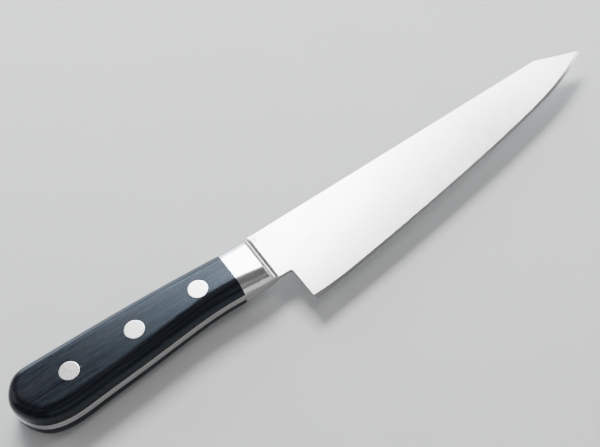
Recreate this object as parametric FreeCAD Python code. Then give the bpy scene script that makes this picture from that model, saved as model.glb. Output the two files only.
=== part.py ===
import FreeCAD, Part
import os

from FreeCAD import Vector

# A Western-handled Japanese boning knife, in millimetres.
# The outlines below are drawn in the knife's own frame: X runs along the spine to the tip, Y runs
# from the edge to the spine, Z is square to the blade, and the origin is where the spine meets the
# bolster, in the middle of the blade's thickness. The finished pieces are then moved together, so
# that the knife lies on its side with its box centred on the origin and its underside at Z = 0.

# Blade
EDGE_LENGTH = 150.0
HEEL_X = 7.1
HEEL_Y = -39.2
SPINE_BREAK_X = 139.4
TIP_DROP = 7.5
NECK_HEIGHT = 22.35
HEEL_NOTCH_X = 6.6
HEEL_NOTCH_RADIUS = 1.3
TIP_X = HEEL_X + EDGE_LENGTH
# Points of the cutting edge between heel and tip, and its slopes at both ends
EDGE_POINTS = [(43.0, -34.35), (84.0, -27.85), (118.6, -21.2), (141.3, -15.0)]
EDGE_SLOPE_AT_HEEL = 0.13
EDGE_SLOPE_AT_TIP = 0.62

# Thickness: each flat leans in towards the edge and towards the tip
STOCK_THICKNESS = 3.0
HALF_STOCK = STOCK_THICKNESS / 2
LEAN_TO_EDGE = 0.031
LEAN_TO_TIP = 0.006

# Cutting bevels: wide on the right side and narrow on the left, as for a right-handed user
BEVEL_WIDTH = 1.3
BEVEL_WIDTH_AT_HEEL = 2.5
BEVEL_HEEL_RUN = 18.0
BACK_BEVEL_WIDTH = 0.45
APEX_OFFSET = 0.35
APEX_INSET = 0.03
BEVEL_STATIONS = 12
BEVEL_OVERRUN = 1.2

# Bolster
BOLSTER_REAR_X = -14.0
BOLSTER_FRONT_X = -2.84
WELD_X = -1.2
BOLSTER_HALF_AT_REAR = 7.5
BOLSTER_HALF_AT_FRONT = 6.1
COVE_RADIUS = 5.34
BOLSTER_TOP_AT_REAR = -1.9
BOLSTER_TOP_AT_FRONT = -1.65
BOLSTER_BOTTOM_AT_REAR = -21.6
SPINE_RAMP_END_X = 0.8
FORM_FRONT_X = 3.0

# Grip: scales and tang share one outline, from the bolster round the butt and back
GRIP_TOP = [(-28.0, -0.9), (-46.0, 0.1), (-70.0, 0.85), (-94.0, 1.25)]
GRIP_BUTT = [(-102.1, 0.2), (-106.6, -4.2), (-108.7, -10.2), (-107.2, -16.2), (-102.2, -22.8)]
GRIP_BOTTOM = [(-94.0, -25.9), (-80.0, -25.6), (-60.0, -24.0), (-42.0, -22.3), (-26.0, -21.2)]
GRIP_TAPER = 0.0132
EDGE_ROUND_TOP = 4.5
EDGE_ROUND_TOP_FRONT = 3.8
EDGE_ROUND_BOTTOM = 5.5
EDGE_ROUND_BOTTOM_FRONT = 4.5

# Two-piece rivets, ground flush with the scales
RIVET_COUNT = 3
RIVET_NAMES = ["front", "middle", "rear"]
RIVET_FIRST = (-27.9, -11.9)
RIVET_PITCH = 28.1
RIVET_DROP = 0.46
RIVET_HEAD_RADIUS = 4.0
RIVET_HEAD_HEIGHT = 2.4
RIVET_TUBE_RADIUS = 3.0
RIVET_SHANK_RADIUS = 2.0
RIVET_SOCKET_FLOOR = 0.6

# Larger than the knife in any direction, for cutting tools
REACH = 320.0
DEEP = 20.0
# The flat cutter starts above the spine and reaches past the heel
FLAT_CUT_TOP_Y = 5.0
FLAT_CUT_RUN = 55.0
# The prism that gives the handle forms their thickness, and how far back it reaches
PRISM_LOW_Y = -60.0
PRISM_RUN = 120.0
PRISM_REAR_X = -130.0
# Edges of a handle form that are rolled: none behind this place, and none that cross the handle
ROLLED_REAR_X = -120.0
LONGEST_ACROSS = 30.0
CLOSE = 0.01
# The bolster's top line is carried on past the weld by this share of its own rise
TOP_CARRY = 0.3
# The bevel cutter runs past both ends of the edge by this share of the edge
BEVEL_END_SHARE = 0.02


def flat_height(x, y):
    """Half thickness of the blade's flats at a point of its outline."""
    return HALF_STOCK + LEAN_TO_EDGE * y - LEAN_TO_TIP * x


def grip_half(x):
    """Half thickness of the handle between its two outer flats."""
    return BOLSTER_HALF_AT_REAR + GRIP_TAPER * (BOLSTER_REAR_X - x)


def bolster_half(x):
    """Half thickness of the bolster between its two outer flats."""
    span = BOLSTER_FRONT_X - BOLSTER_REAR_X
    share = (x - BOLSTER_REAR_X) / span
    return BOLSTER_HALF_AT_REAR + share * (BOLSTER_HALF_AT_FRONT - BOLSTER_HALF_AT_REAR)


def line(*points):
    """Straight edges through the points."""
    return [Part.LineSegment(a, b).toShape() for a, b in zip(points, points[1:])]


def flat_xy(pairs):
    return [Vector(x, y, 0) for x, y in pairs]


def slab(edges, half):
    """A solid of an outline in XY, as thick each side of the middle."""
    face = Part.Face(Part.Wire(Part.__sortEdges__(edges)))
    face.translate(Vector(0, 0, -half))
    return face.extrude(Vector(0, 0, 2 * half))


def box(x_range, y_range, z_range):
    low = Vector(x_range[0], y_range[0], z_range[0])
    return Part.makeBox(
        x_range[1] - x_range[0], y_range[1] - y_range[0], z_range[1] - z_range[0], low
    )


def both_sides(shape):
    """The shape and its mirror image across the blade's middle plane."""
    return [shape, shape.mirror(Vector(0, 0, 0), Vector(0, 0, 1))]


def edge_curve():
    """The cutting edge in plan, from heel to tip."""
    curve = Part.BSplineCurve()
    points = flat_xy([(HEEL_X, HEEL_Y)] + EDGE_POINTS + [(TIP_X, -TIP_DROP)])
    curve.interpolate(
        Points=points,
        InitialTangent=Vector(1, EDGE_SLOPE_AT_HEEL, 0),
        FinalTangent=Vector(1, EDGE_SLOPE_AT_TIP, 0),
    )
    return curve


def spine_ramp():
    """The short curve that lifts the blade's spine from the bolster's top."""
    low, high = BOLSTER_TOP_AT_FRONT, 0.0
    middle = (WELD_X + SPINE_RAMP_END_X) / 2
    curve = Part.BezierCurve()
    curve.setPoles(
        flat_xy([(WELD_X, low), (middle, low), (middle, high), (SPINE_RAMP_END_X, high)])
    )
    return curve.toShape()


def heel_notch():
    """The rounded inner corner between the neck and the heel."""
    radius = HEEL_NOTCH_RADIUS
    start = Vector(HEEL_NOTCH_X - radius, -NECK_HEIGHT, 0)
    corner = Vector(HEEL_NOTCH_X - radius, -NECK_HEIGHT - radius, 0)
    middle = corner + Vector(radius, radius, 0) * 0.5**0.5
    end = Vector(HEEL_NOTCH_X, -NECK_HEIGHT - radius, 0)
    return start, Part.Arc(start, middle, end).toShape(), end


def blade_outline():
    """Outline of the blade in front of the weld, without the tang."""
    notch_start, notch, notch_end = heel_notch()
    spine = line(
        Vector(SPINE_RAMP_END_X, 0, 0), Vector(SPINE_BREAK_X, 0, 0), Vector(TIP_X, -TIP_DROP, 0)
    )
    heel = line(Vector(HEEL_X, HEEL_Y, 0), notch_end)
    neck = line(
        notch_start, Vector(WELD_X, -NECK_HEIGHT, 0), Vector(WELD_X, BOLSTER_TOP_AT_FRONT, 0)
    )
    return [spine_ramp()] + spine + [edge_curve().toShape()] + heel + [notch] + neck


def flat_cutter():
    """Everything above the right flat, the cove and the bolster's front.

    Its profile lies in XZ and is pushed along the flat's lean, so that the cove runs into the flat
    with no step.
    """
    slope = LEAN_TO_TIP
    run = (1 + slope**2) ** 0.5
    centre_x = BOLSTER_FRONT_X + COVE_RADIUS
    meet_x = centre_x - COVE_RADIUS * slope / run
    meet_z = flat_height(meet_x, 0)
    centre_z = meet_z + COVE_RADIUS / run
    wall_foot = Vector(BOLSTER_FRONT_X, 0, centre_z)
    half_turn = 0.5**0.5 * COVE_RADIUS
    cove_middle = Vector(centre_x - half_turn, 0, centre_z - half_turn)
    meet = Vector(meet_x, 0, meet_z)
    far = Vector(TIP_X + DEEP, 0, flat_height(TIP_X + DEEP, 0))
    above_far = Vector(far.x, 0, DEEP)
    above_wall = Vector(BOLSTER_FRONT_X, 0, DEEP)
    edges = line(meet, far, above_far, above_wall, wall_foot)
    edges.append(Part.Arc(wall_foot, cove_middle, meet).toShape())
    face = Part.Face(Part.Wire(Part.__sortEdges__(edges)))
    face.translate(Vector(0, FLAT_CUT_TOP_Y, LEAN_TO_EDGE * FLAT_CUT_TOP_Y))
    return face.extrude(Vector(0, -FLAT_CUT_RUN, -LEAN_TO_EDGE * FLAT_CUT_RUN))


def bevel_width(x):
    """Width of the right bevel: widest at the heel, then even."""
    share = max(0.0, 1 - (x - HEEL_X) / BEVEL_HEEL_RUN)
    return BEVEL_WIDTH + (BEVEL_WIDTH_AT_HEEL - BEVEL_WIDTH) * share**2


def bevel_section(curve, share, side):
    """Triangle of metal that the stone takes off at one place along the edge."""
    first, last = curve.FirstParameter, curve.LastParameter
    share_inside = min(max(share, 0.0), 1.0)
    where = first + (last - first) * share_inside
    along = curve.tangent(where)[0]
    along.normalize()
    inward = Vector(-along.y, along.x, 0)
    place = curve.value(where) + along * ((share - share_inside) * EDGE_LENGTH)
    width = bevel_width(place.x) if side > 0 else BACK_BEVEL_WIDTH
    shoulder = place + inward * width
    apex = place + inward * APEX_INSET
    apex.z = -APEX_OFFSET * flat_height(place.x, place.y)
    shoulder.z = side * flat_height(shoulder.x, shoulder.y)
    slope = shoulder - apex
    slope.normalize()
    low = apex - slope * BEVEL_OVERRUN
    high = shoulder + slope * BEVEL_OVERRUN
    outside = place - inward * BEVEL_OVERRUN + Vector(0, 0, side * STOCK_THICKNESS)
    return Part.makePolygon([low, high, outside, low])


def bevel_cutter(side):
    """The metal that sharpening takes off one side of the edge."""
    curve = edge_curve()
    shares = [i / BEVEL_STATIONS for i in range(BEVEL_STATIONS + 1)]
    shares = [-BEVEL_END_SHARE] + shares + [1 + BEVEL_END_SHARE]
    return Part.makeLoft([bevel_section(curve, share, side) for share in shares], True, False)


def long_edges(shape, half, low_x):
    """The edges along the top and bottom of a handle form, where its flats end."""
    found = []
    for edge in shape.Edges:
        place = edge.valueAt((edge.FirstParameter + edge.LastParameter) / 2)
        on_flat = abs(abs(place.z) - half(place.x)) < CLOSE
        ends = edge.Vertexes
        level = len(ends) == 2 and abs(ends[0].X - ends[1].X) < CLOSE
        across = level and edge.Length < LONGEST_ACROSS
        if on_flat and not across and place.x > low_x:
            found.append(edge)
    return found


def grip_outline():
    """The grip's outline, from the bolster's top round the butt to the bolster's bottom."""
    top = (BOLSTER_REAR_X, BOLSTER_TOP_AT_REAR)
    bottom = (BOLSTER_REAR_X, BOLSTER_BOTTOM_AT_REAR)
    curve = Part.BSplineCurve()
    curve.interpolate(Points=flat_xy([top] + GRIP_TOP + GRIP_BUTT + GRIP_BOTTOM + [bottom]))
    return [curve.toShape()] + line(*flat_xy([bottom, top]))


def side_prism(x_ends, half):
    """Room between the two outer flats, for a half thickness that changes evenly along X."""
    corners = [(x_ends[0], -1), (x_ends[0], 1), (x_ends[1], 1), (x_ends[1], -1), (x_ends[0], -1)]
    wire = Part.makePolygon([Vector(x, PRISM_LOW_Y, sign * half(x)) for x, sign in corners])
    return Part.Face(wire).extrude(Vector(0, PRISM_RUN, 0))


def rounded(form, edges, at_rear, at_front):
    """Roll each long edge to a radius that changes evenly from its rear end to its front end."""
    for edge in edges:
        starts_at_rear = edge.valueAt(edge.FirstParameter).x < edge.CenterOfMass.x
        radii = (at_rear, at_front) if starts_at_rear else (at_front, at_rear)
        form = form.makeFillet(*radii, [edge])
    return form


def grip_form():
    """The whole grip before it is parted into tang and scales."""
    form = slab(grip_outline(), DEEP).common(side_prism((PRISM_REAR_X, BOLSTER_REAR_X), grip_half))
    edges = long_edges(form, grip_half, ROLLED_REAR_X)
    return form.makeFillet(EDGE_ROUND_BOTTOM, EDGE_ROUND_TOP, edges)


def bolster_outline():
    """The bolster's outline, carried on past the weld so that the neck takes its roundness."""
    front_top = BOLSTER_TOP_AT_FRONT + (BOLSTER_TOP_AT_FRONT - BOLSTER_TOP_AT_REAR) * TOP_CARRY
    return line(
        Vector(BOLSTER_REAR_X, BOLSTER_TOP_AT_REAR, 0),
        Vector(FORM_FRONT_X, front_top, 0),
        Vector(FORM_FRONT_X, -NECK_HEIGHT, 0),
        Vector(BOLSTER_REAR_X, BOLSTER_BOTTOM_AT_REAR, 0),
        Vector(BOLSTER_REAR_X, BOLSTER_TOP_AT_REAR, 0),
    )


def bolster_form():
    """The whole bolster before it is parted and its front is hollowed by the cove."""
    prism = side_prism((BOLSTER_REAR_X, FORM_FRONT_X), bolster_half)
    form = slab(bolster_outline(), DEEP).common(prism)
    edges = long_edges(form, bolster_half, BOLSTER_REAR_X)
    half_way = (BOLSTER_TOP_AT_REAR + BOLSTER_BOTTOM_AT_REAR) / 2
    upper = [edge for edge in edges if edge.CenterOfMass.y > half_way]
    lower = [edge for edge in edges if edge.CenterOfMass.y < half_way]
    form = rounded(form, upper, EDGE_ROUND_TOP, EDGE_ROUND_TOP_FRONT)
    return rounded(form, lower, EDGE_ROUND_BOTTOM, EDGE_ROUND_BOTTOM_FRONT)


def over(z_low, z_high, x_low=-REACH, x_high=REACH):
    """Everything between two heights, and between two places along the knife."""
    return box((x_low, x_high), (-REACH, REACH), (z_low, z_high))


def rivet_place(index):
    """Centre of a rivet in plan."""
    first_x, first_y = RIVET_FIRST
    return Vector(first_x - index * RIVET_PITCH, first_y - index * RIVET_DROP, 0)


def tang_core():
    """The part of both handle forms that lies within the thickness of the stock."""
    core = over(-HALF_STOCK, HALF_STOCK)
    behind_weld = over(-DEEP, DEEP, x_high=WELD_X)
    return grip_form().common(core), bolster_form().common(core).common(behind_weld)


def neck_trim():
    """Metal that is taken off the blade's neck to carry the bolster's round underside forward."""
    half_way = (BOLSTER_TOP_AT_REAR + BOLSTER_BOTTOM_AT_REAR) / 2
    under = box((WELD_X, FORM_FRONT_X), (-REACH, half_way), (-HALF_STOCK * 2, HALF_STOCK * 2))
    return under.cut(bolster_form())


def blade():
    """Blade and full tang, one forging, with holes for the rivets."""
    shape = slab(blade_outline(), 2 * HALF_STOCK)
    for cutter in both_sides(flat_cutter()):
        shape = shape.cut(cutter)
    shape = shape.cut(bevel_cutter(1))
    shape = shape.cut(bevel_cutter(-1))
    shape = shape.cut(neck_trim())
    shape = shape.fuse(list(tang_core())).removeSplitter()
    for index in range(RIVET_COUNT):
        centre = rivet_place(index) - Vector(0, 0, DEEP)
        shape = shape.cut(Part.makeCylinder(RIVET_TUBE_RADIUS, 2 * DEEP, centre))
    return shape


def half_of(shape, side):
    """The part of a shape that stands clear of the stock on one side."""
    if side > 0:
        return shape.common(over(HALF_STOCK, DEEP))
    return shape.common(over(-DEEP, -HALF_STOCK))


def bolster(side):
    """One welded half of the bolster, with the cove that runs down to the blade."""
    shape = half_of(bolster_form(), side).common(over(-DEEP, DEEP, x_high=WELD_X))
    for cutter in both_sides(flat_cutter()):
        shape = shape.cut(cutter)
    return shape


def head_recess(index, side):
    """Room for one rivet head, from its seat out past the scale."""
    centre = rivet_place(index)
    seat = grip_half(centre.x) - RIVET_HEAD_HEIGHT
    start = centre + Vector(0, 0, side * seat)
    return Part.makeCylinder(RIVET_HEAD_RADIUS, DEEP, start, Vector(0, 0, side))


def scale(side):
    """One handle scale with its stepped rivet holes."""
    shape = half_of(grip_form(), side)
    for index in range(RIVET_COUNT):
        centre = rivet_place(index) - Vector(0, 0, DEEP)
        shape = shape.cut(Part.makeCylinder(RIVET_TUBE_RADIUS, 2 * DEEP, centre))
        shape = shape.cut(head_recess(index, side))
    return shape


def rivet_head(index, side):
    """A head that fills its recess and is ground flush with the scale."""
    return head_recess(index, side).common(grip_form())


def rivet_male(index):
    """The right half of a rivet: a head with a solid shank."""
    centre = rivet_place(index)
    seat = grip_half(centre.x) - RIVET_HEAD_HEIGHT
    length = 2 * seat - RIVET_SOCKET_FLOOR
    shank = Part.makeCylinder(
        RIVET_SHANK_RADIUS, length, centre + Vector(0, 0, seat), Vector(0, 0, -1)
    )
    return rivet_head(index, 1).fuse(shank).removeSplitter()


def rivet_female(index):
    """The left half of a rivet: a head with a tube that takes the shank."""
    centre = rivet_place(index)
    seat = grip_half(centre.x) - RIVET_HEAD_HEIGHT
    foot = centre - Vector(0, 0, seat)
    tube = Part.makeCylinder(RIVET_TUBE_RADIUS, 2 * seat, foot)
    socket_foot = foot + Vector(0, 0, RIVET_SOCKET_FLOOR)
    socket = Part.makeCylinder(RIVET_SHANK_RADIUS, 2 * seat, socket_foot)
    return rivet_head(index, -1).fuse(tube).cut(socket).removeSplitter()


def pieces():
    """Every piece of the knife by name, in the knife's own frame."""
    found = {
        "blade": blade(),
        "bolster_right": bolster(1),
        "bolster_left": bolster(-1),
        "scale_right": scale(1),
        "scale_left": scale(-1),
    }
    for index, name in enumerate(RIVET_NAMES):
        found["rivet_" + name + "_male"] = rivet_male(index)
        found["rivet_" + name + "_female"] = rivet_female(index)
    return found


def shift_to_rest(shapes):
    """The move that puts the whole knife's box on the origin, with its underside at Z = 0."""
    bounds = Part.makeCompound(shapes).optimalBoundingBox(False, False)
    centre = bounds.Center
    return Vector(-centre.x, -centre.y, -bounds.ZMin)


def main():
    os.makedirs("parts", exist_ok=True)
    found = pieces()
    shift = shift_to_rest(list(found.values()))
    print("moved by", [round(value, 3) for value in shift])
    for name, shape in found.items():
        shape.translate(shift)
        print(name, shape.isValid(), len(shape.Solids), round(shape.Volume, 1))
        shape.exportStep("parts/" + name + ".step")


main()
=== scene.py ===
import math

import bmesh
import bpy
import numpy as np
from mathutils import Matrix, Quaternion, Vector
from mathutils.geometry import delaunay_2d_cdt


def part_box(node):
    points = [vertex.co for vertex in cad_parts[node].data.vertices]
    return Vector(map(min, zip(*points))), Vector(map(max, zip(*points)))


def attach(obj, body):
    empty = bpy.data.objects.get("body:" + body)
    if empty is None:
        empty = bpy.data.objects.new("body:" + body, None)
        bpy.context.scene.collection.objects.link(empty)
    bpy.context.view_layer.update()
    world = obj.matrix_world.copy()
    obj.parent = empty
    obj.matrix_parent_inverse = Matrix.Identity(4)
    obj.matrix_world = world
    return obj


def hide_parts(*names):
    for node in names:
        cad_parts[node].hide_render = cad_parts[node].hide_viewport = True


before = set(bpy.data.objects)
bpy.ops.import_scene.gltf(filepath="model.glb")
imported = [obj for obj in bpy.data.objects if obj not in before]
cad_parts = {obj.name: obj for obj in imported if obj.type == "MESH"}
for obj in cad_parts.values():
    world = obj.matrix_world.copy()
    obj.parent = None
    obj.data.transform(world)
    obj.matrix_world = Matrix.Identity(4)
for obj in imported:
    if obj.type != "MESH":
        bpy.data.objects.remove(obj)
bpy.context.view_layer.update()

# A boning knife that lies on its left side. Its pieces are drawn in the knife's own frame, in
# millimetres: X runs along the spine to the tip, Y from the edge to the spine, and Z out of the
# right side, from the middle of the blade's thickness. The bolster's CAD box says where that
# frame lies in the row's frame, which is in metres.
MM = 0.001
STOCK_HALF = 1.5
BOLSTER_REAR_X = -14.0
BOLSTER_HIGHEST_Y = -1.655
BOLSTER_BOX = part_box("bolster_right")
KNIFE_ORIGIN = Vector((
    BOLSTER_BOX[0][0] - BOLSTER_REAR_X * MM,
    BOLSTER_BOX[1][1] - BOLSTER_HIGHEST_Y * MM,
    BOLSTER_BOX[0][2] - STOCK_HALF * MM,
))

# Blade
HEEL = (7.1, -39.2)
TIP = (157.1, -7.5)
SPINE_BREAK = (139.4, 0.0)
EDGE_POINTS = [HEEL, (43.0, -34.35), (84.0, -27.85), (118.6, -21.2), (141.3, -15.0), TIP]
EDGE_SLOPES = (0.13, 0.62)
NECK_BOTTOM_Y = -22.35
NOTCH_X = 6.6
NOTCH_RADIUS = 1.3
LEAN_TO_EDGE = 0.031
LEAN_TO_TIP = 0.006
BEVEL_WIDTH = 1.3
BEVEL_WIDTH_AT_HEEL = 2.5
BEVEL_HEEL_RUN = 18.0
BACK_BEVEL_WIDTH = 0.45
APEX_OFFSET = 0.35
RAMP_END_X = 0.8

# Bolster: straight lines from its rear to a section just in front of the weld
FORM_FRONT_X = 3.0
WELD_X = -1.2
FACE_FRONT_X = -2.84
HALF_AT_REAR = 7.5
HALF_AT_FACE_FRONT = 6.1
COVE_RADIUS = 5.34
TOP_LINE = (-1.9, -1.575)
BOTTOM_LINE = (-21.6, NECK_BOTTOM_Y)
TOP_ROUNDING = (4.5, 3.8)
BOTTOM_ROUNDING = (5.5, 4.5)

# Grip
GRIP_POINTS = [
    (-14.0, -1.9), (-28.0, -0.9), (-46.0, 0.1), (-70.0, 0.85), (-94.0, 1.25), (-102.1, 0.2),
    (-106.6, -4.2), (-108.7, -10.2), (-107.2, -16.2), (-102.2, -22.8), (-94.0, -25.9),
    (-80.0, -25.6), (-60.0, -24.0), (-42.0, -22.3), (-26.0, -21.2), (-14.0, -21.6),
]
GRIP_TAPER = 0.0132

# Rivets
RIVETS = ["front", "middle", "rear"]
RIVET_FIRST = (-27.9, -11.9)
RIVET_STEP = (-28.1, -0.46)
HEAD_RADIUS = 4.0
HEAD_HEIGHT = 2.4
TUBE_RADIUS = 3.0
SHANK_RADIUS = 2.0
SOCKET_FLOOR = 0.6

# Small roundings that hand finishing leaves
SPINE_EASING = 0.22
HEEL_EASING = 0.15
NECK_EASING = 0.3
SEAM = 0.09
HEAD_SEAM = 0.13
HEAD_EASING = 0.16
FACE_EASING = 0.16
FACE_START = 1.2
EASING_START = 2.9
EASING_RUN = 9.0
WELD_EASING_RUN = 1.5
MOST_EASED = 0.7
# The scale's roundings end at least this far from a rivet's middle
MOUTH_CLEAR = 4.28

# The heel's line is straight down to here, this far above the bevel
BEVEL_END_X = NOTCH_X + 0.41
BEVEL_CLEAR = 0.4
# The tang's outline starts this far behind the weld
TANG_STEP = 0.05
# The rivets are drawn this much smaller than the holes they fill
FIT_GAP = 0.02
HEAD_RING_RADII = (0.9, 1.8, 2.7, 3.3, 3.6)
# Further from the edge than any place on the blade
OFF_BLADE = 99.0

# How finely the shapes are drawn
RINGS = 9
WALL_RINGS = 3
FILLET_STEPS = 12
CIRCLE_STEPS = 72
CURVE_STEPS = 60
NOTCH_STEPS = 6
RAMP_STEPS = 12
COVE_STEPS = 16
CORNER_STEPS = 8
HEAD_CORNER_STEPS = 4
BOLSTER_FACE_COLUMNS = 8
SQUARING_COLUMNS = 5
# The sine above which two normals of an outline make a corner
CORNER_TURN = 0.2
CDT_REACH = 1e-6
CORNER_ROUNDS = 5
# Shares of the way across a face for the points between its two rims
ACROSS_BOLSTER = np.linspace(0, 1, 13)[1:-1]
ACROSS_SCALE = np.linspace(0, 1, 11)[1:-1]

# Spacing of the points along each stretch of outline
COVE_SPACING = 0.3
NECK_SPACING = 0.6
HEEL_SPACING = 1.4
EDGE_SPACING = 1.5
SLOPE_SPACING = 2.3
SPINE_SPACING = 3.0
GRIP_SPACING = 1.2
TANG_SPACING = 1.6

# Points on the faces: the grid's xs and ys, and how clear of the rims they keep
FLAT_GRID = (np.arange(5.0, 156.0, 5.0), np.arange(-36.0, 0.0, 4.0), 1.6)
TANG_GRID = (np.arange(-104.0, -4.0, 6.0), np.arange(-24.0, 0.0, 5.0), 1.6)
SCALE_GRID = (np.arange(-104.0, -14.0, 4.0), np.arange(-22.0, 0.0, 3.0), 1.2)
COVE_GRID_STEP = 0.2
COVE_GRID_CLEAR = 0.18


def share_along(x):
    """0 at the bolster's rear, 1 at the front section of its form."""
    return (x - BOLSTER_REAR_X) / (FORM_FRONT_X - BOLSTER_REAR_X)


def between(pair, share):
    return pair[0] + (pair[1] - pair[0]) * share


def flat_half(x, y):
    """Half thickness of the blade between its flats."""
    return STOCK_HALF + LEAN_TO_EDGE * y - LEAN_TO_TIP * x


def grip_half(x):
    """Half thickness of the grip between its flats."""
    return HALF_AT_REAR + GRIP_TAPER * (BOLSTER_REAR_X - x)


def bolster_half(x):
    """Half thickness of the bolster between its flats."""
    share = (x - BOLSTER_REAR_X) / (FACE_FRONT_X - BOLSTER_REAR_X)
    return between((HALF_AT_REAR, HALF_AT_FACE_FRONT), share)


# The cove is a cylinder that meets the blade's flat with no step
COVE_X = FACE_FRONT_X + COVE_RADIUS
COVE_Z = flat_half(COVE_X - COVE_RADIUS * LEAN_TO_TIP, 0) + COVE_RADIUS


def cove_half(x, y):
    """Half thickness at the cove's surface, for places in front of the bolster's face."""
    reach = np.clip(COVE_X - np.asarray(x, float), 0, COVE_RADIUS)
    return COVE_Z + LEAN_TO_EDGE * y - np.sqrt(COVE_RADIUS**2 - reach**2)


def neck_half(x, y):
    return np.where(np.asarray(x) < COVE_X, cove_half(x, y), flat_half(x, y))


def along(points, spacing):
    """Points at an even spacing along a line of points, with both ends kept."""
    points = np.asarray(points, float)
    steps = np.linalg.norm(np.diff(points, axis=0), axis=1)
    where = np.concatenate([[0], np.cumsum(steps)])
    count = max(1, round(where[-1] / spacing))
    wanted = np.linspace(0, where[-1], count + 1)
    return np.column_stack([np.interp(wanted, where, points[:, axis]) for axis in (0, 1)])


def smooth_curve(points, spacing, slopes=None):
    """Evenly spaced points of the curve of even curvature change through the given points."""
    points = np.asarray(points, float)
    chords = np.linalg.norm(np.diff(points, axis=0), axis=1)
    places = np.concatenate([[0], np.cumsum(chords)])
    if slopes is None:
        ends = [np.polyfit((places - places[i])[part], points[part], 3)[2]
                for i, part in ((0, slice(0, 4)), (-1, slice(-4, None)))]
    else:
        ends = [np.array((1, slope)) / math.hypot(1, slope) for slope in slopes]
    count = len(points)
    matrix, sums = np.eye(count), np.zeros((count, 2))
    sums[0], sums[-1] = ends
    for i in range(1, count - 1):
        before, after = chords[i - 1], chords[i]
        matrix[i, i - 1:i + 2] = after, 2 * (before + after), before
        sums[i] = 3 * (after / before * (points[i] - points[i - 1])
                       + before / after * (points[i + 1] - points[i]))
    speeds = np.linalg.solve(matrix, sums)
    share = np.linspace(0, 1, CURVE_STEPS, endpoint=False)[:, None]
    dense = []
    for i, chord in enumerate(chords):
        dense.append(
            (2 * share**3 - 3 * share**2 + 1) * points[i]
            + (share**3 - 2 * share**2 + share) * chord * speeds[i]
            + (3 * share**2 - 2 * share**3) * points[i + 1]
            + (share**3 - share**2) * chord * speeds[i + 1]
        )
    return along(np.vstack(dense + [points[-1:]]), spacing)


EDGE = smooth_curve(EDGE_POINTS, EDGE_SPACING, EDGE_SLOPES)
GRIP = smooth_curve(GRIP_POINTS, GRIP_SPACING)


def bevel_width(x, side):
    """Width of the ground bevel: on the right it is widest at the heel."""
    if side < 0:
        return np.full(np.shape(x), BACK_BEVEL_WIDTH)
    share = np.clip(1 - (x - HEEL[0]) / BEVEL_HEEL_RUN, 0, 1)
    return BEVEL_WIDTH + (BEVEL_WIDTH_AT_HEEL - BEVEL_WIDTH) * share**2


def blade_surface(x, y, side):
    """Height of the blade's right or left surface, bevel and cove included."""
    x, y = np.asarray(x, float), np.asarray(y, float)
    half = neck_half(x, y)
    edge_y = np.interp(x, EDGE[:, 0], EDGE[:, 1])
    off_edge = np.where(x < NOTCH_X, OFF_BLADE, y - edge_y)
    apex = -APEX_OFFSET * half
    share = np.clip(off_edge / bevel_width(x, side), 0, 1)
    return apex + (side * half - apex) * share


# ---- Meshes ----

def inside(points, loops):
    """Which points lie within the loops, by the even-odd rule."""
    px, py = np.asarray(points, float).T
    found = np.zeros(len(px), bool)
    for loop in loops:
        for (x0, y0), (x1, y1) in zip(loop, np.roll(loop, -1, axis=0)):
            if y0 != y1:
                meets = x0 + (py - y0) * (x1 - x0) / (y1 - y0)
                found ^= ((y0 > py) != (y1 > py)) & (px < meets)
    return found


def grid_points(loops, xs, ys, margin):
    """The points of a grid that lie within the loops and keep clear of their lines."""
    grid = np.array([(x, y) for x in xs for y in ys])
    grid = grid[inside(grid, loops)]
    rims = np.vstack([along(np.vstack([loop, loop[:1]]), margin) for loop in loops])
    gaps = [np.min(np.sum((rims - place) ** 2, axis=1)) for place in grid]
    return grid[np.array(gaps) > margin**2]


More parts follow.
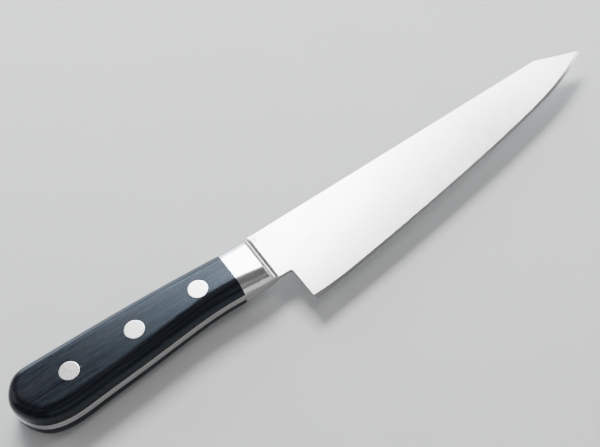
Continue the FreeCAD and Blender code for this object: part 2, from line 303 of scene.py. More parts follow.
class Builder:
    """Collects the vertices and faces of one closed mesh."""

    def __init__(self):
        self.places, self.faces, self.slots, self.sharp = [], [], [], set()

    def add(self, points):
        """Numbers of the new vertices."""
        first = len(self.places)
        self.places += [tuple(point) for point in points]
        return list(range(first, len(self.places)))

    def face(self, corners, slot=0):
        self.faces.append(list(corners))
        self.slots.append(slot)

    def strip(self, one, other, slot=0, closed=True):
        """Quads between two rows of vertices."""
        count = len(one) if closed else len(one) - 1
        for i in range(count):
            j = (i + 1) % len(one)
            self.face((one[i], one[j], other[j], other[i]), slot)

    def fill(self, loops, height, grids=(), slot=0):
        """Triangles over a region with holes, at the height that a function gives.

        Each of the grids is the xs and ys of points to add, and how clear of the rims they keep.
        """
        flat = [np.array([self.places[i][:2] for i in loop]) for loop in loops]
        extra = [place for xs, ys, margin in grids for place in grid_points(flat, xs, ys, margin)]
        numbers = [i for loop in loops for i in loop]
        numbers += self.add([(x, y, height(x, y)) for x, y in extra])
        start, edges = 0, []
        for loop in loops:
            count = len(loop)
            edges += [(start + i, start + (i + 1) % count) for i in range(count)]
            start += count
        where = [Vector(self.places[i][:2]) for i in numbers]
        places, _, triangles, sources = delaunay_2d_cdt(where, edges, [], 0, CDT_REACH)[:4]
        centres = [sum((places[i] for i in corners), Vector((0, 0))) / 3 for corners in triangles]
        for corners, within in zip(triangles, inside(centres, flat)):
            if within:
                self.face([numbers[sources[i][0]] for i in corners], slot)

    def make(self, name, materials, sharp_angle=math.radians(28)):
        """The object, in the row's frame."""
        mesh = bpy.data.meshes.new(name)
        places = [KNIFE_ORIGIN + Vector(place) * MM for place in self.places]
        mesh.from_pydata(places, [], self.faces)
        mesh.polygons.foreach_set("material_index", self.slots)
        work = bmesh.new()
        work.from_mesh(mesh)
        bmesh.ops.recalc_face_normals(work, faces=work.faces)
        work.verts.ensure_lookup_table()
        for one, other in self.sharp:
            edge = work.edges.get((work.verts[one], work.verts[other]))
            edge.smooth = False
        work.to_mesh(mesh)
        work.free()
        mesh.shade_smooth()
        flagged = [edge.use_edge_sharp for edge in mesh.edges]
        mesh.set_sharp_from_angle(angle=sharp_angle)
        for edge, keep in zip(mesh.edges, flagged):
            if keep:
                edge.use_edge_sharp = True
        for material in materials:
            mesh.materials.append(material)
        piece = bpy.data.objects.new(name, mesh)
        bpy.context.collection.objects.link(piece)
        weighted = piece.modifiers.new("weighted", "WEIGHTED_NORMAL")
        weighted.keep_sharp = True
        return piece


def ring_turns():
    """For each ring of an eased wall: its share of the wall's height, and its turn to the face."""
    last = RINGS - 1
    shares = [min(1.0, ring / WALL_RINGS) for ring in range(RINGS)]
    turns = [max(0.0, (ring - WALL_RINGS) / (last - WALL_RINGS)) * math.pi / 2 for ring in range(RINGS)]
    return np.array(shares), np.array(turns)


WALL_SHARES, WALL_TURNS = ring_turns()
EDGE_SHARES = np.linspace(0, 1, RINGS)
EASINGS = {"spine": SPINE_EASING, "heel": HEEL_EASING, "neck": NECK_EASING, "grip": SEAM}


def form_inset(x, y, z):
    """How far the bolster's long roundings stand in from its outline at a height."""
    share = share_along(x)
    roundings = TOP_ROUNDING if y > BOTTOM_LINE[0] / 2 else BOTTOM_ROUNDING
    radius = between(roundings, share)
    rise = np.clip(np.abs(z) - (bolster_half(x) - radius), 0, radius)
    return radius - np.sqrt(radius**2 - rise**2)


def easing_at(kind, place):
    """Radius of a small rounding at one place: none at the weld or at the ends of the edge."""
    to_edge = min(math.dist(place, HEEL), math.dist(place, TIP))
    share = (to_edge - EASING_START) / EASING_RUN
    if kind in ("neck", "spine"):
        share = min(share, (place[0] - WELD_X) / WELD_EASING_RUN)
    return EASINGS.get(kind, 0.0) * min(1.0, max(0.0, share))


def wall_levels(height, easing):
    """Heights of the rings of a wall, from the middle up to the face it is rounded into."""
    if easing == 0:
        return height * EDGE_SHARES
    return (height - easing) * WALL_SHARES + easing * np.sin(WALL_TURNS)


def insets(kind, place, side):
    """How far in from the outline each ring lies beside a stretch of one kind."""
    if kind == "edge":
        return bevel_width(place[0], side) * EDGE_SHARES
    easing = easing_at(kind, place)
    found = easing * (1 - np.cos(WALL_TURNS))
    if kind in ("neck", "spine") and place[0] < FORM_FRONT_X:
        levels = wall_levels(float(neck_half(place[0], place[1])), easing)
        found = found + form_inset(place[0], place[1], levels)
    return found


def column(place, before, after, side):
    """Points of all rings at one place of the blade's outline, from the middle to one face."""
    (kind_a, normal_a), (kind_b, normal_b) = before, after
    inset_a, inset_b = insets(kind_a, place, side), insets(kind_b, place, side)
    turn = normal_a[0] * normal_b[1] - normal_a[1] * normal_b[0]
    if abs(turn) < CORNER_TURN:
        normal = (normal_a + normal_b) / 2
        normal = normal / np.dot(normal, normal_a)
        offsets = np.outer((inset_a + inset_b) / 2, normal)
    else:
        both = np.array([normal_a, normal_b])
        offsets = np.linalg.solve(both, np.array([inset_a, inset_b])).T
    plan = place + offsets
    if kind_a in ("tang", "grip"):
        half = side * STOCK_HALF
        middle = 0.0
    else:
        half = float(blade_surface(*plan[-1], side))
        middle = float(blade_surface(*place, 1) + blade_surface(*place, -1)) / 2
    if "edge" in (kind_a, kind_b):
        apex = -APEX_OFFSET * float(neck_half(*place))
        half = side * float(neck_half(*plan[-1]))
        return np.column_stack([plan, apex + (half - apex) * EDGE_SHARES])
    height = abs(half - middle)
    easing = min(easing_at(kind_a, place), easing_at(kind_b, place), height * MOST_EASED)
    return np.column_stack([plan, middle + side * wall_levels(height, easing)])


def spaced_line(start, end, spacing):
    return along([start, end], spacing)


def top_y(x):
    return between(TOP_LINE, share_along(x))


def bottom_y(x):
    return between(BOTTOM_LINE, share_along(x))


def notch_points():
    """The rounded inner corner between the neck and the heel."""
    turns = np.linspace(math.pi / 2, 0, NOTCH_STEPS + 1)
    centre = np.array((NOTCH_X - NOTCH_RADIUS, NECK_BOTTOM_Y - NOTCH_RADIUS))
    return centre + NOTCH_RADIUS * np.column_stack([np.cos(turns), np.sin(turns)])


def ramp_points():
    """The short curve by which the spine comes down to the bolster's top."""
    high, low = 0.0, top_y(WELD_X)
    middle_x = (WELD_X + RAMP_END_X) / 2
    poles = np.array([(RAMP_END_X, high), (middle_x, high), (middle_x, low), (WELD_X, low)])
    share = np.linspace(0, 1, RAMP_STEPS + 1)[:, None]
    weights = [(1 - share) ** 3, 3 * share * (1 - share) ** 2, 3 * share**2 * (1 - share), share**3]
    return sum(weight * pole for weight, pole in zip(weights, poles))


def blade_stretches():
    """The outline in front of the weld, as stretches of one kind, edge side first."""
    neck = np.vstack([
        spaced_line((WELD_X, bottom_y(WELD_X)), (FORM_FRONT_X, NECK_BOTTOM_Y), COVE_SPACING),
        spaced_line(
            (FORM_FRONT_X, NECK_BOTTOM_Y), (NOTCH_X - NOTCH_RADIUS, NECK_BOTTOM_Y), NECK_SPACING
        )[1:],
        notch_points()[1:],
    ])
    bevel_end = (BEVEL_END_X, HEEL[1] + BEVEL_WIDTH_AT_HEEL + BEVEL_CLEAR)
    heel = np.vstack([spaced_line(neck[-1], bevel_end, HEEL_SPACING), [HEEL]])
    slope = spaced_line(TIP, SPINE_BREAK, SLOPE_SPACING)
    spine = spaced_line(SPINE_BREAK, (RAMP_END_X, 0.0), SPINE_SPACING)
    spine = np.vstack([spine, ramp_points()[1:]])
    return [("neck", neck), ("heel", heel), ("edge", EDGE), ("spine", slope), ("spine", spine)]


def tang_stretches():
    """The outline behind the weld: the bolster's top, the grip and the bolster's bottom."""
    step = WELD_X - TANG_STEP
    top = spaced_line((step, top_y(step)), GRIP[0], TANG_SPACING)
    bottom = spaced_line(GRIP[-1], (step, bottom_y(step)), TANG_SPACING)
    return [("tang", top), ("grip", GRIP), ("tang", bottom)]


def chain(stretches):
    """Places of a chain of stretches, each with the kind of line before it and after it."""
    places, kinds = [stretches[0][1][0]], []
    for kind, points in stretches:
        places += list(points[1:])
        kinds += [kind] * (len(points) - 1)
    places = np.array(places)
    runs = np.diff(places, axis=0)
    normals = np.column_stack([-runs[:, 1], runs[:, 0]]) / np.linalg.norm(runs, axis=1)[:, None]
    found = []
    for i, place in enumerate(places):
        before = (kinds[max(i - 1, 0)], normals[max(i - 1, 0)])
        after = (kinds[min(i, len(kinds) - 1)], normals[min(i, len(kinds) - 1)])
        found.append((place, before, after))
    return found


def hole_loop(build, centre, radius, height):
    turns = np.arange(CIRCLE_STEPS) / CIRCLE_STEPS * 2 * math.pi
    xs, ys = centre[0] + radius * np.cos(turns), centre[1] + radius * np.sin(turns)
    return build.add([(x, y, height(x, y)) for x, y in zip(xs, ys)])


def rivet_centre(index):
    return np.array(RIVET_FIRST) + index * np.array(RIVET_STEP)


def square_ends(items):
    """The first and last normals of a chain, turned so that its ends stay in one plane."""
    level = [np.array((0.0, -1.0)), np.array((0.0, 1.0))]
    for item, (place, (kind_a, normal_a), (kind_b, _)) in ((0, items[0]), (-1, items[-1])):
        up = level[0] if normal_a[1] < 0 else level[1]
        items[item] = (place, (kind_a, up), (kind_b, up))
    return items


def level(side):
    """The height of the tang's flat, as a function of the place."""
    return lambda x, y: side * STOCK_HALF


def blade_walls(build, columns, middle_ring, on_edge):
    """The wall from the middle ring to one face; the edge's part is the ground bevel."""
    rings = [] if middle_ring is None else [middle_ring]
    rings += [build.add(columns[:, ring]) for ring in range(len(rings), RINGS)]
    for low, high in zip(rings, rings[1:]):
        for i, edge in enumerate(on_edge):
            j = (i + 1) % len(on_edge)
            build.face((low[i], low[j], high[j], high[i]), 1 if edge else 2)
    return rings[0], rings[-1]


def blade_face(build, rim, tang_rim, tang_x, side):
    """The blade's flat and cove down to the weld, the step to the tang, and the tang's flat."""
    first_y, last_y = build.places[rim[0]][1], build.places[rim[-1]][1]
    heights = [between((last_y, first_y), share) for share in ACROSS_BOLSTER]
    weld_line = build.add([(WELD_X, y, float(blade_surface(WELD_X, y, side))) for y in heights])
    tang_line = build.add([(tang_x, y, side * STOCK_HALF) for y in heights])
    wall_top = [rim[-1]] + weld_line + [rim[0]]
    wall_foot = [tang_rim[0]] + tang_line + [tang_rim[-1]]
    build.strip(wall_top, wall_foot, slot=2, closed=False)
    cove_xs = np.arange(WELD_X + COVE_GRID_STEP, FORM_FRONT_X, COVE_GRID_STEP)
    build.fill(
        [rim + weld_line],
        lambda x, y: float(blade_surface(x, y, side)),
        [(cove_xs, heights, COVE_GRID_CLEAR), FLAT_GRID],
    )
    flat = level(side)
    holes = [hole_loop(build, rivet_centre(i), TUBE_RADIUS, flat) for i in range(len(RIVETS))]
    build.fill([tang_rim + tang_line[::-1]] + holes, flat, [TANG_GRID])
    return holes


def make_blade(materials):
    """Blade and tang, one forging: flats, bevels, cove, eased spine and rivet holes."""
    build = Builder()
    blade = square_ends(chain(blade_stretches()))
    tang = square_ends(chain(tang_stretches()))
    items = blade + tang
    edge_after = [after[0] == "edge" for _, _, after in items]
    edge_before = [before[0] == "edge" for _, before, _ in items]
    on_edge = [edge and edge_before[(i + 1) % len(items)] for i, edge in enumerate(edge_after)]
    middle_ring, holes = None, []
    for side in (1, -1):
        columns = np.array([column(*item, side) for item in items])
        middle_ring, top = blade_walls(build, columns, middle_ring, on_edge)
        rim, tang_rim = top[:len(blade)], top[len(blade):]
        build.sharp.update(zip(rim, rim[1:]))
        holes.append(blade_face(build, rim, tang_rim, tang[0][0][0], side))
    for one, other in zip(*holes):
        build.strip(one, other)
    return build.make("blade_and_tang", materials)


def fillet_turns():
    return np.linspace(0, math.pi / 2, FILLET_STEPS + 1)


def scale_column(place, normal, radius, side):
    """Points up the scale's side at one place: the seam, the wall and the rolled edge."""
    turns = fillet_turns()
    plan = np.vstack([
        place + normal * SEAM, place, place, place + np.outer(radius * (1 - np.cos(turns)), normal)
    ])
    for index in range(len(RIVETS)):
        gap = plan[-1] - rivet_centre(index)
        distance = np.linalg.norm(gap)
        if distance < MOUTH_CLEAR:
            plan[-1] = rivet_centre(index) + gap / distance * MOUTH_CLEAR
    half = grip_half(plan[:, 0])
    low, shoulder = STOCK_HALF + SEAM, half[3] - radius
    heights = np.concatenate([
        [STOCK_HALF, low, (low + shoulder) / 2], half[3:] - radius * (1 - np.sin(turns))
    ])
    return np.column_stack([plan, side * heights])


def scale_columns(outline, side):
    """Columns along the grip's outline, turned square to the bolster at both ends."""
    items = square_ends(chain([("grip", outline)]))
    total = len(items) - 1
    columns = []
    for i, (place, (_, normal_a), (_, normal_b)) in enumerate(items):
        to_front = min(i, total - i) / SQUARING_COLUMNS
        normal = normal_a + normal_b
        normal = normal / np.linalg.norm(normal)
        if to_front < 1:
            square = np.array((0.0, math.copysign(1, normal[1])))
            normal = between((square, normal), to_front**2 * (3 - 2 * to_front))
        radius = between((TOP_ROUNDING[0], BOTTOM_ROUNDING[0]), i / total)
        columns.append(scale_column(place, normal, radius, side))
    return columns


def scale_ends(columns, side):
    """The first and last column carried to the bolster, a seam's width smaller all round."""
    tilts = np.concatenate([[0, 0, 0], fillet_turns()])
    ends = []
    for points, inward in ((columns[0], -1), (columns[-1], 1)):
        moved = points.copy()
        moved[:, 0] = BOLSTER_REAR_X
        moved[:, 1] += inward * SEAM * np.cos(tilts)
        moved[:, 2] -= side * SEAM * np.sin(tilts)
        ends.append(moved)
    return ends


def rivet_holes(build, face, side):
    """The stepped holes of one scale: loops of their mouths and of their feet on the tang."""
    mouths, feet = [], []
    for index in range(len(RIVETS)):
        steps = [
            (HEAD_RADIUS + HEAD_SEAM, face),
            (HEAD_RADIUS, lambda x, y: face(x, y, HEAD_SEAM)),
            (HEAD_RADIUS, lambda x, y: face(x, y, HEAD_HEIGHT)),
            (TUBE_RADIUS, lambda x, y: face(x, y, HEAD_HEIGHT)),
            (TUBE_RADIUS, level(side)),
        ]
        loops = [hole_loop(build, rivet_centre(index), radius, height) for radius, height in steps]
        for one, other in zip(loops, loops[1:]):
            build.strip(one, other)
        mouths.append(loops[0])
        feet.append(loops[-1])
    return mouths, feet


def make_scale(side, name, materials):
    """One handle scale: rolled edges, a fine seam to tang and bolster, and stepped rivet holes."""
    def face(x, y, depth=0.0):
        return side * (float(grip_half(x)) - depth)

    build = Builder()
    outline = GRIP.copy()
    outline[[0, -1], 0] -= SEAM
    columns = scale_columns(outline, side)
    front, back = scale_ends(columns, side)
    grid = np.array([front, *columns, back])
    rings = [build.add(grid[:, ring]) for ring in range(grid.shape[1])]
    for low_ring, high_ring in zip(rings, rings[1:]):
        build.strip(low_ring, high_ring, closed=False)
    top = rings[-1]
    rim = top[1:-1]
    face_x, first_y, last_y = outline[0][0], columns[0][-1][1], columns[-1][-1][1]
    heights = [between((last_y, first_y), share) for share in ACROSS_SCALE]
    face_line = build.add([(face_x, y, face(face_x, y)) for y in heights])
    front_line = build.add([(BOLSTER_REAR_X, y, face(face_x, y, SEAM)) for y in heights])
    build.strip([rim[-1]] + face_line + [rim[0]], [top[-1]] + front_line + [top[0]], closed=False)
    cap = [ring[0] for ring in rings] + front_line[::-1] + [ring[-1] for ring in rings[::-1]]
    build.face(cap)
    mouths, feet = rivet_holes(build, face, side)
    build.fill([rim + face_line] + mouths, face, [SCALE_GRID])
    build.fill([rings[0]] + feet, level(side), [SCALE_GRID])
    return build.make(name, materials)


def bolster_columns():
    """Places along the bolster, each with the cove's height there, or None on the face."""
    front_turn = math.asin((COVE_Z - bolster_half(FACE_FRONT_X)) / COVE_RADIUS)
    front_x = COVE_X - COVE_RADIUS * math.cos(front_turn)
    weld_turn = math.acos((COVE_X - WELD_X) / COVE_RADIUS)
    face = np.linspace(BOLSTER_REAR_X + FACE_START, front_x - FACE_EASING * 2, BOLSTER_FACE_COLUMNS)
    found = [(x, None) for x in [BOLSTER_REAR_X + SEAM, *face]]
    first_turn = front_turn + FACE_EASING / COVE_RADIUS
    first = (COVE_X - COVE_RADIUS * math.cos(first_turn), COVE_Z - COVE_RADIUS * math.sin(first_turn))
    clear_z = bolster_half(front_x) - LEAN_TO_EDGE * bottom_y(front_x)
    for turn in np.linspace(0, math.pi / 2, CORNER_STEPS + 1)[:-1]:
        x = between((front_x - FACE_EASING, first[0]), math.sin(turn))
        found.append((x, between((clear_z, first[1]), 1 - math.cos(turn))))
    for turn in np.linspace(first_turn, weld_turn, COVE_STEPS + 1):
        found.append((COVE_X - COVE_RADIUS * math.cos(turn), COVE_Z - COVE_RADIUS * math.sin(turn)))
    found[-1] = (WELD_X, found[-1][1])
    return found


def bolster_section(x, cove_z, side):
    """Points round the bolster from its top seam over the face to its bottom seam."""
    half, share = bolster_half(x), share_along(x)
    sides = []
    for edge_y, roundings, inward in (
        (top_y(x), TOP_ROUNDING, -1), (bottom_y(x), BOTTOM_ROUNDING, 1)
    ):
        radius = between(roundings, share)
        shoulder = half - radius
        limit, last_turn = half, math.pi / 2
        for _ in range(CORNER_ROUNDS if cove_z is not None else 0):
            y = edge_y + inward * radius * (1 - math.cos(last_turn))
            limit = min(half, cove_z + LEAN_TO_EDGE * y)
            last_turn = math.asin(min(1.0, (limit - shoulder) / radius))
        turns = np.linspace(0, last_turn, FILLET_STEPS + 1)
        ys = edge_y + inward * radius * (1 - np.cos(turns))
        zs = shoulder + radius * np.sin(turns)
        walls = np.linspace(STOCK_HALF, min(shoulder, limit), 3)[:-1]
        if shoulder < STOCK_HALF:
            turns = np.linspace(math.asin((STOCK_HALF - shoulder) / radius), last_turn, FILLET_STEPS + 3)
            ys = edge_y + inward * radius * (1 - np.cos(turns))
            zs = shoulder + radius * np.sin(turns)
            walls = []
        points = [(x, edge_y, z) for z in walls] + [(x, y, z) for y, z in zip(ys, zs)]
        sides.append(points)
    top, bottom = sides
    face = []
    for share_across in ACROSS_BOLSTER:
        y = between((top[-1][1], bottom[-1][1]), share_across)
        z = half if cove_z is None else min(half, cove_z + LEAN_TO_EDGE * y)
        face.append((x, y, z))
    points = np.array(top + face + bottom[::-1])
    points[:, 2] *= side
    return points


def make_bolster(side, name, materials):
    """One bolster half: rolled face, crisp front edge and the cove down to the weld."""
    build = Builder()
    sections = [bolster_section(x, cove_z, side) for x, cove_z in bolster_columns()]
    rear = sections[0].copy()
    middle = np.array((0, (rear[:, 1].max() + rear[:, 1].min()) / 2, side * STOCK_HALF))
    rear[:, 0] = BOLSTER_REAR_X
    reach = rear[:, 1:] - middle[1:]
    lengths = np.maximum(np.linalg.norm(reach, axis=1), 0.001)[:, None]
    rear[:, 1:] -= reach / lengths * SEAM
    rear[:, 2] = side * np.maximum(np.abs(rear[:, 2]), STOCK_HALF)
    rows = [build.add(section) for section in [rear] + sections]
    for one, other in zip(rows, rows[1:]):
        build.strip(one, other, closed=False)
        build.face((one[0], other[0], other[-1], one[-1]))
    build.face(rows[0])
    build.face(rows[-1])
    return build.make(name, materials)


def rivet_outline(top, side):
    """Radius and height down one half, from its head's middle to the end of its shank or tube."""
    head, seat = HEAD_RADIUS - FIT_GAP, top - HEAD_HEIGHT
    outline = [(radius, top) for radius in HEAD_RING_RADII]
    for turn in np.linspace(0, math.pi / 2, HEAD_CORNER_STEPS + 1):
        outline.append((
            head - HEAD_EASING * (1 - math.sin(turn)), top - HEAD_EASING * (1 - math.cos(turn))
        ))
    outline.append((head, seat))
    if side > 0:
        shank = SHANK_RADIUS - FIT_GAP
        return outline + [(shank, seat), (shank, SOCKET_FLOOR - seat)]
    tube = TUBE_RADIUS - FIT_GAP
    return outline + [
        (tube, seat), (tube, -seat), (SHANK_RADIUS, -seat), (SHANK_RADIUS, seat - SOCKET_FLOOR)
    ]


def make_rivet(index, side, name, materials):
    """One half of a rivet, turned: an eased head, with a solid shank or a tube that takes it."""
    build = Builder()
    centre = rivet_centre(index)
    top = float(grip_half(centre[0]))
    outline = rivet_outline(top, side)
    turns = np.arange(CIRCLE_STEPS) / CIRCLE_STEPS * 2 * math.pi
    rings = []
    for radius, height in outline:
        xs, ys = centre[0] + radius * np.cos(turns), centre[1] + radius * np.sin(turns)
        lean = -GRIP_TAPER * (xs - centre[0]) * (height > top - HEAD_HEIGHT)
        rings.append(build.add(np.column_stack([xs, ys, side * (height + lean)])))
    for one, other in zip(rings, rings[1:]):
        build.strip(one, other)
    for ring, height in ((rings[0], top), (rings[-1], outline[-1][1])):
        hub = build.add([(*centre, side * height)])[0]
        for i in range(CIRCLE_STEPS):
            build.face((hub, ring[i], ring[(i + 1) % CIRCLE_STEPS]))
    return build.make(name, materials)


# ---- Materials ----

class Finish:
    """A material under construction, with short ways to add its nodes."""

    def __init__(self, name, colour, metallic, roughness):
        self.material = bpy.data.materials.new(name)
        self.material.use_nodes = True
        self.tree = self.material.node_tree
        self.shader = self.tree.nodes["Principled BSDF"]
        self.shader.inputs["Base Color"].default_value = (*colour, 1)
        self.shader.inputs["Metallic"].default_value = metallic
        self.shader.inputs["Roughness"].default_value = roughness
        self.here = self.node("ShaderNodeTexCoord").outputs["Object"]

    def node(self, kind):
        return self.tree.nodes.new(kind)

    def link(self, output, socket):
        self.tree.links.new(output, socket)

    def stretched(self, scale, turn=0.0):
        """Object coordinates, turned about Z and scaled, so that a pattern can run one way."""
        mapping = self.node("ShaderNodeMapping")
        mapping.inputs["Rotation"].default_value = (0, 0, turn)
        mapping.inputs["Scale"].default_value = scale
        self.link(self.here, mapping.inputs["Vector"])
        return mapping.outputs["Vector"]

    def noise(self, vector, detail=4.0, roughness=0.6, distortion=0.0):
        noise = self.node("ShaderNodeTexNoise")
        noise.inputs["Scale"].default_value = 1.0
        noise.inputs["Detail"].default_value = detail
        noise.inputs["Roughness"].default_value = roughness
        noise.inputs["Distortion"].default_value = distortion
        self.link(vector, noise.inputs["Vector"])
        return noise.outputs["Fac"]

    def spread(self, value, low, high, to_low, to_high):
        """A value carried from one range to another, held within it."""
        spread = self.node("ShaderNodeMapRange")
        for socket, number in zip(("From Min", "From Max", "To Min", "To Max"), (low, high, to_low, to_high)):
            spread.inputs[socket].default_value = number
        self.link(value, spread.inputs["Value"])
        return spread.outputs["Result"]

    def maths(self, operation, one, other):
        sums = self.node("ShaderNodeMath")
        sums.operation = operation
        for socket, value in zip(sums.inputs, (one, other)):
            if isinstance(value, (int, float)):
                socket.default_value = value
            else:
                self.link(value, socket)
        return sums.outputs["Value"]

    def blend(self, share, one, other):
        mix = self.node("ShaderNodeMix")
        mix.data_type = "RGBA"
        sockets = [socket for socket in mix.inputs if socket.enabled and socket.type == "RGBA"]
        for socket, value in zip(sockets, (one, other)):
            if isinstance(value, tuple):
                socket.default_value = (*value, 1)
            else:
                self.link(value, socket)
        self.link(share, mix.inputs["Factor"])
        return next(socket for socket in mix.outputs if socket.enabled and socket.type == "RGBA")

    def bump(self, height, strength, distance, onto=None):
        bump = self.node("ShaderNodeBump")
        bump.inputs["Strength"].default_value = strength
        bump.inputs["Distance"].default_value = distance
        self.link(height, bump.inputs["Height"])
        if onto is not None:
            self.link(onto, bump.inputs["Normal"])
        return bump.outputs["Normal"]

    def feed(self, name, output):
        self.link(output, self.shader.inputs[name])


def ground_steel(name, colour, roughness, hairs, depth):
    """Steel with fine grinding hairlines that run one way, faint smudges and a few stray scratches."""
    finish = Finish(name, colour, 1.0, roughness)
    hairlines = finish.noise(finish.stretched(hairs), 3.0, 0.7)
    patches = finish.noise(finish.stretched((28, 28, 28)), 3.0, 0.5)
    stray = finish.noise(finish.stretched((60, 1500, 1500), math.radians(34)), 2.0, 0.5)
    scratches = finish.spread(stray, 0.66, 0.72, 0, 1)
    gloss = finish.maths(
        "ADD",
        finish.spread(hairlines, 0.3, 0.7, 0.86 * roughness, 1.16 * roughness),
        finish.spread(patches, 0.35, 0.65, -0.012, 0.018),
    )
    finish.feed("Roughness", finish.maths("ADD", gloss, finish.maths("MULTIPLY", scratches, 0.08)))
    dark = tuple(0.90 * part for part in colour)
    ground = finish.blend(finish.spread(hairlines, 0.35, 0.65, 0, 1), dark, colour)
    smudged = finish.blend(finish.spread(patches, 0.5, 0.75, 0, 0.5), ground, dark)
    finish.feed("Base Color", finish.blend(finish.maths("MULTIPLY", scratches, 0.5), smudged, dark))
    finish.feed("Normal", finish.bump(hairlines, 0.35, depth))
    return finish.material


def rivet_metal():
    """Turned rivet heads: faint concentric tool lines round each head's own middle."""
    colour = (0.70, 0.70, 0.71)
    finish = Finish("rivet_metal", colour, 1.0, 0.24)
    generated = finish.tree.nodes["Texture Coordinate"].outputs["Generated"]
    centred = finish.node("ShaderNodeVectorMath")
    centred.operation = "SUBTRACT"
    centred.inputs[1].default_value = (0.5, 0.5, 0.0)
    finish.link(generated, centred.inputs[0])
    flat = finish.node("ShaderNodeVectorMath")
    flat.operation = "MULTIPLY"
    flat.inputs[1].default_value = (1, 1, 0)
    finish.link(centred.outputs["Vector"], flat.inputs[0])
    length = finish.node("ShaderNodeVectorMath")
    length.operation = "LENGTH"
    finish.link(flat.outputs["Vector"], length.inputs[0])
    radius = length.outputs["Value"]
    waves = finish.maths("SINE", finish.maths("MULTIPLY", radius, 260.0), 0.0)
    scratches = finish.noise(finish.stretched((900, 900, 900)), 3.0, 0.6)
    lines = finish.maths("ADD", finish.maths("MULTIPLY", waves, 0.35), scratches)
    finish.feed("Roughness", finish.spread(lines, 0.0, 1.0, 0.2, 0.3))
    # The outer ring of each head is drawn a lighter grey than its middle.
    lighter_rim = finish.spread(radius, 0.40, 0.47, 0.0, 1.0)
    finish.feed("Base Color", finish.blend(lighter_rim, (0.62, 0.62, 0.635), (0.70, 0.70, 0.71)))
    finish.feed("Normal", finish.bump(lines, 0.25, 0.000004))
    return finish.material


def laminated_wood():
    """Black resin-soaked laminated wood: plies through the thickness, pores and streaks along it."""
    finish = Finish("laminated_wood", (0.012, 0.012, 0.014), 0.0, 0.34)
    streaks = finish.noise(finish.stretched((16, 900, 160)), 5.0, 0.7, 0.3)
    bands = finish.noise(finish.stretched((9, 150, 60)), 3.0, 0.55, 0.5)
    pores = finish.noise(finish.stretched((160, 5200, 1600)), 2.0, 0.6)
    waver = finish.noise(finish.stretched((14, 60, 60)), 2.0, 0.5)
    separate = finish.node("ShaderNodeSeparateXYZ")
    finish.link(finish.here, separate.inputs["Vector"])
    ply_depth = finish.maths("ADD", finish.maths("MULTIPLY", separate.outputs["Z"], 8200.0),
                             finish.maths("MULTIPLY", waver, 5.0))
    plies = finish.spread(finish.maths("SINE", ply_depth, 0.0), -1, 1, 0, 1)
    grain = finish.maths(
        "ADD", finish.maths("MULTIPLY", streaks, 0.75), finish.maths("MULTIPLY", plies, 0.25)
    )
    black = finish.blend(
        finish.spread(grain, 0.3, 0.75, 0, 1), (0.003, 0.0033, 0.0045), (0.014, 0.015, 0.019)
    )
    brown = finish.blend(finish.spread(bands, 0.52, 0.7, 0, 0.55), black, (0.019, 0.012, 0.009))
    stray = finish.noise(finish.stretched((45, 1900, 700), math.radians(4)), 2.0, 0.5)
    scratches = finish.spread(stray, 0.67, 0.72, 0, 0.6)
    finish.feed("Base Color", finish.blend(scratches, brown, (0.045, 0.044, 0.046)))
    gloss = finish.maths(
        "ADD",
        finish.spread(streaks, 0.32, 0.68, 0.17, 0.24),
        finish.maths(
            "ADD",
            finish.spread(pores, 0.45, 0.7, 0.0, 0.1),
            finish.spread(bands, 0.4, 0.65, -0.02, 0.05),
        ),
    )
    finish.feed("Roughness", gloss)
    finish.shader.inputs["Specular IOR Level"].default_value = 0.275
    # Painted reflection colour: the wood's reflections are tinted blue to give the cool sheen, which comes
    # from the light and not from the wood.
    finish.shader.inputs["Specular Tint"].default_value = (0.58, 0.78, 1.0, 1)
    soft = finish.bump(streaks, 0.3, 0.00006)
    finish.feed("Normal", finish.bump(pores, 0.35, 0.00002, soft))
    return finish.material


def floor_paint():
    finish = Finish("floor_paint", (0.79, 0.79, 0.785), 0.0, 0.7)
    mottle = finish.noise(finish.stretched((35, 35, 35)), 4.0, 0.55)
    share = finish.spread(mottle, 0.3, 0.7, 0, 1)
    finish.feed("Base Color", finish.blend(share, (0.78, 0.78, 0.775), (0.80, 0.80, 0.795)))
    return finish.material


# ---- Studio ----

def add_floor():
    reach = 6.0
    mesh = bpy.data.meshes.new("floor")
    corners = [(-reach, -reach, 0), (reach, -reach, 0), (reach, reach, 0), (-reach, reach, 0)]
    mesh.from_pydata(corners, [], [(0, 1, 2, 3)])
    mesh.materials.append(floor_paint())
    floor = bpy.data.objects.new("floor", mesh)
    bpy.context.collection.objects.link(floor)


def add_camera():
    """A long lens from above, in front of the edge and behind the bolster, rolled a little."""
    data = bpy.data.cameras.new("camera")
    data.lens = 90.0
    data.sensor_width = 36.0
    data.clip_start = 0.01
    camera = bpy.data.objects.new("camera", data)
    bpy.context.collection.objects.link(camera)
    heading, height, roll = math.radians(21.93), math.radians(55.03), math.radians(13.79)
    distance = 0.5805
    target = Vector((-0.00355, 0.01259, 0.00868))
    ahead = Vector((
        math.sin(heading) * math.cos(height), math.cos(heading) * math.cos(height), -math.sin(height)
    ))
    level = ahead.cross(Vector((0, 0, 1))).normalized()
    up = math.cos(roll) * level.cross(ahead) + math.sin(roll) * level
    right = ahead.cross(up)
    turned = Matrix((right, up, -ahead)).transposed().to_4x4()
    camera.matrix_world = Matrix.Translation(target - ahead * distance) @ turned
    bpy.context.scene.camera = camera


def add_softbox(name, place, target, size, radiance, turn=0.0, colour=(1, 1, 1)):
    """A soft rectangular light, as bright as the radiance seen in a mirror."""
    data = bpy.data.lights.new(name, "AREA")
    data.shape = "RECTANGLE"
    data.size, data.size_y = size
    data.energy = radiance * math.pi * size[0] * size[1]
    data.color = colour
    lamp = bpy.data.objects.new(name, data)
    bpy.context.collection.objects.link(lamp)
    lamp.location = place
    lamp.rotation_mode = "QUATERNION"
    facing = (Vector(place) - Vector(target)).to_track_quat("Z", "Y")
    lamp.rotation_quaternion = facing @ Quaternion((0, 0, 1), turn)


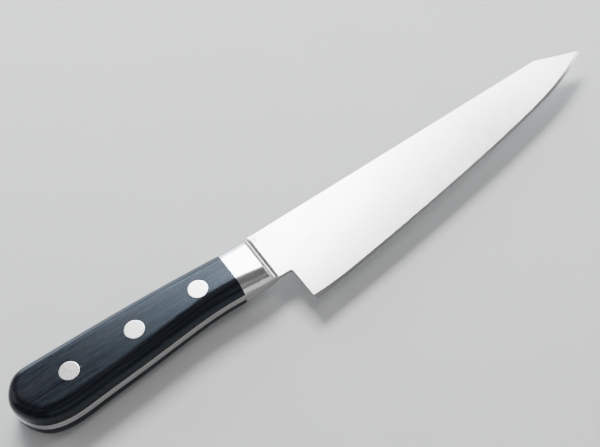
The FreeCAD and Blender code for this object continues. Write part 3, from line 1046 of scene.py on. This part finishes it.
def add_studio():
    add_camera()
    add_floor()
    # The key's lower edge runs aslant, so that the brightness falls away across the blade
    add_softbox("key", (0.465, 0.912, 1.0), (0.465, 0.912, 0.0), (0.79, 0.62), 22.0, math.radians(17))
    add_softbox("fill", (0.82, 0.84, 1.02), (0.82, 0.84, 0.0), (0.5, 0.62), 7.0)
    add_softbox("rear", (0.32, 1.35, 0.40), (0.05, 0.0, 0.1), (1.1, 0.7), 6.5, 0.0, (0.76, 0.89, 1.0))
    add_softbox("low_right", (1.25, 0.80, 0.10), (0.0, 0.0, 0.05), (0.9, 0.14), 8.0)
    add_softbox("tip", (0.95, -0.10, 1.0), (0.13, 0.0, 0.0), (0.4, 0.4), 6.0)
    add_softbox("front", (-0.35, -1.3, 0.9), (0.0, 0.0, 0.0), (1.3, 0.8), 0.8)
    add_softbox("left_rear", (-1.25, 1.05, 0.75), (0.0, 0.0, 0.0), (0.9, 0.9), 1.4)
    add_softbox("right_front", (1.3, -1.2, 0.55), (0.0, 0.0, 0.0), (1.2, 0.8), 1.0)
    world = bpy.data.worlds.new("studio")
    world.use_nodes = True
    world.node_tree.nodes["Background"].inputs["Color"].default_value = (0.20, 0.202, 0.206, 1)
    bpy.context.scene.world = world


def add_pieces():
    blade_steel = ground_steel("blade_steel", (0.66, 0.66, 0.655), 0.17, (2600, 90, 2600), 0.0000009)
    bevel_steel = ground_steel("bevel_steel", (0.68, 0.68, 0.68), 0.17, (3200, 200, 3200), 0.0000008)
    bolster_steel = ground_steel("bolster_steel", (0.66, 0.655, 0.65), 0.2, (90, 2600, 2600), 0.0000015)
    wood = laminated_wood()
    metal = rivet_metal()
    made = [
        (make_blade([blade_steel, bevel_steel, bolster_steel]), "blade", "blade_steel"),
        (make_bolster(1, "bolster_half_right", [bolster_steel]), "bolster_right", "bolster_steel"),
        (make_bolster(-1, "bolster_half_left", [bolster_steel]), "bolster_left", "bolster_steel"),
        (make_scale(1, "handle_scale_right", [wood]), "scale_right", "scale_wood"),
        (make_scale(-1, "handle_scale_left", [wood]), "scale_left", "scale_wood"),
    ]
    for index, name in enumerate(RIVETS):
        for side, half in ((1, "male"), (-1, "female")):
            piece = make_rivet(index, side, f"rivet_{name}_{half}_half", [metal])
            made.append((piece, f"rivet_{name}_{half}", "rivet_metal"))
    for piece, node, slot in made:
        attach(piece, "root")
        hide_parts(node)


add_studio()
add_pieces()
